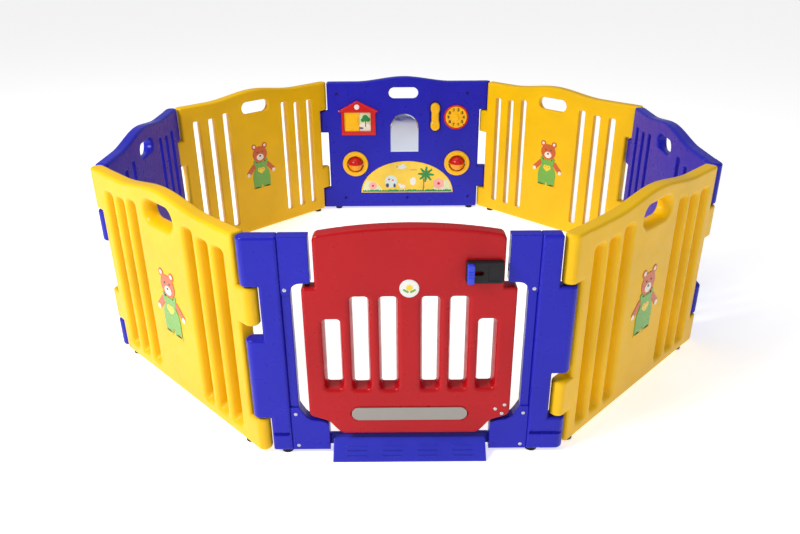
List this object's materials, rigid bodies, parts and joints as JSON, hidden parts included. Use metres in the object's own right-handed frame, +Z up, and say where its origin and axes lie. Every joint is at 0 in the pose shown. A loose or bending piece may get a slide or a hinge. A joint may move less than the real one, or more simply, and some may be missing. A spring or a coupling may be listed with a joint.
{
  "type": "playpen",
  "caption": "Ring-shaped plastic play yard of hinged hollow panels with a swinging gate, a step ramp and a toy panel",
  "frame": {"origin": "on the floor, under the middle of the whole footprint (bottom centre of the bounding box)", "axes": "+Z up; the gate faces -Y; +X to the right seen from in front of the gate"},
  "size_m": [1.8506, 1.8856, 0.628],
  "materials": {
    "yellow_plastic": "semi-gloss blow-moulded polyethylene",
    "blue_plastic": "semi-gloss moulded polyethylene",
    "bright_blue_plastic": "glossy",
    "red_plastic": "semi-gloss moulded plastic",
    "toy_yellow_plastic": "glossy moulded plastic",
    "orange_plastic": "glossy moulded plastic",
    "white_plastic": "glossy",
    "black_plastic": "fine matt",
    "black_rubber": "matt",
    "bear_inlay": "printed and slightly raised",
    "picture_card": "printed film under clear varnish",
    "silver_strip": "silver film with a fine dot pattern",
    "mirror": "safe acrylic mirror",
    "steel": "zinc plated",
    "dark_steel": "blackened"
  },
  "bodies": {
    "gate_frame": {"gate_post_left": "blue_plastic", "gate_post_right": "blue_plastic", "gate_jamb_left": "blue_plastic", "gate_jamb_right": "blue_plastic", "gate_sill": "blue_plastic", "gate_ramp": "blue_plastic", "gate_pins": "black_plastic", "gate_feet": "black_rubber", "frame_screws": "steel", "door_hinge_pins": "black_plastic"},
    "door": {"gate_door": "red_plastic", "door_badge": "white_plastic", "door_strip": "silver_strip", "door_screws": "steel", "latch_housing": "black_plastic"},
    "latch": {"latch_bolt": "black_plastic", "latch_knob": "bright_blue_plastic"},
    "activity": {"activity_front_shell": "blue_plastic", "activity_back_shell": "blue_plastic", "activity_pins": "black_plastic", "activity_feet": "black_rubber", "activity_screws": "dark_steel", "house_frame": "red_plastic", "house_picture": "picture_card", "mirror": "mirror", "meadow_picture": "picture_card", "dial_ring": "red_plastic", "ball_ring_left": "toy_yellow_plastic", "ball_ring_right": "toy_yellow_plastic", "ball_axles": "steel"},
    "house_door": {"house_door": "toy_yellow_plastic"},
    "doorbell": {"doorbell_button": "white_plastic"},
    "handset": {"handset": "toy_yellow_plastic"},
    "dial": {"dial_disc": "toy_yellow_plastic"},
    "ball_left": {"ball_left_upper": "red_plastic", "ball_left_lower": "orange_plastic"},
    "ball_right": {"ball_right_upper": "red_plastic", "ball_right_lower": "orange_plastic"},
    "front_right": {"front_right_panel": "yellow_plastic", "front_right_pins": "black_plastic", "front_right_feet": "black_rubber", "front_right_bears": "bear_inlay"},
    "right": {"right_panel": "blue_plastic", "right_pins": "black_plastic", "right_feet": "black_rubber"},
    "back_right": {"back_right_panel": "yellow_plastic", "back_right_pins": "black_plastic", "back_right_feet": "black_rubber", "back_right_bears": "bear_inlay"},
    "back_left": {"back_left_panel": "yellow_plastic", "back_left_pins": "black_plastic", "back_left_feet": "black_rubber", "back_left_bears": "bear_inlay"},
    "left": {"left_panel": "blue_plastic", "left_pins": "black_plastic", "left_feet": "black_rubber"},
    "front_left": {"front_left_panel": "yellow_plastic", "front_left_pins": "black_plastic", "front_left_feet": "black_rubber", "front_left_bears": "bear_inlay"}
  },
  "joints": [
    {"name": "ring_fold", "type": "hinge", "parent": "gate_frame", "child": "front_right", "pos_m": [0.375, -0.88783, 0.3], "axis": [0, 0, 1], "range_deg": [-45, 45]},
    {"name": "fold_front_right", "type": "hinge", "parent": "front_right", "child": "right", "pos_m": [0.90533, -0.3575, 0.3], "axis": [0, 0, 1], "range_deg": [-45, 45]},
    {"name": "fold_right", "type": "hinge", "parent": "right", "child": "back_right", "pos_m": [0.90533, 0.3925, 0.3], "axis": [0, 0, 1], "range_deg": [-45, 45]},
    {"name": "fold_back_right", "type": "hinge", "parent": "back_right", "child": "activity", "pos_m": [0.375, 0.92283, 0.3], "axis": [0, 0, 1], "range_deg": [-45, 45]},
    {"name": "fold_front_left", "type": "hinge", "parent": "gate_frame", "child": "front_left", "pos_m": [-0.375, -0.88783, 0.3], "axis": [0, 0, 1], "range_deg": [-45, 45]},
    {"name": "fold_left", "type": "hinge", "parent": "front_left", "child": "left", "pos_m": [-0.90533, -0.3575, 0.3], "axis": [0, 0, 1], "range_deg": [-45, 45]},
    {"name": "fold_back_left", "type": "hinge", "parent": "left", "child": "back_left", "pos_m": [-0.90533, 0.3925, 0.3], "axis": [0, 0, 1], "range_deg": [-45, 45]},
    {"name": "gate_door_swing", "type": "hinge", "parent": "gate_frame", "child": "door", "pos_m": [-0.238, -0.88783, 0.3], "axis": [0, 0, 1], "range_deg": [-90, 90]},
    {"name": "latch_slide", "type": "slide", "parent": "door", "child": "latch", "axis": [1, 0, 0], "range_m": [0, 0.024]},
    {"name": "house_door_slide", "type": "slide", "parent": "activity", "child": "house_door", "axis": [1, 0, 0], "range_m": [0, 0.051]},
    {"name": "doorbell_press", "type": "slide", "parent": "activity", "child": "doorbell", "axis": [0, 1, 0], "range_m": [0, 0.0018], "stiffness_N_per_m": 150, "springref_m": -0.002},
    {"name": "handset_lift_off", "type": "slide", "parent": "activity", "child": "handset", "axis": [0, -1, 0], "range_m": [0, 0.08]},
    {"name": "dial_turn", "type": "hinge", "parent": "activity", "child": "dial", "pos_m": [0.242, 0.89983, 0.446], "axis": [0, -1, 0], "continuous": true},
    {"name": "ball_left_spin", "type": "hinge", "parent": "activity", "child": "ball_left", "pos_m": [-0.228, 0.89933, 0.227], "axis": [1, 0, 0], "continuous": true},
    {"name": "ball_right_spin", "type": "hinge", "parent": "activity", "child": "ball_right", "pos_m": [0.251, 0.89933, 0.228], "axis": [1, 0, 0], "continuous": true}
  ],
  "couplings": [
    {"joint": "fold_front_right", "follows": "ring_fold", "ratio": -1},
    {"joint": "fold_right", "follows": "ring_fold", "ratio": 1},
    {"joint": "fold_back_right", "follows": "ring_fold", "ratio": -1},
    {"joint": "fold_front_left", "follows": "ring_fold", "ratio": 1},
    {"joint": "fold_left", "follows": "ring_fold", "ratio": -1},
    {"joint": "fold_back_left", "follows": "ring_fold", "ratio": 1}
  ]
}
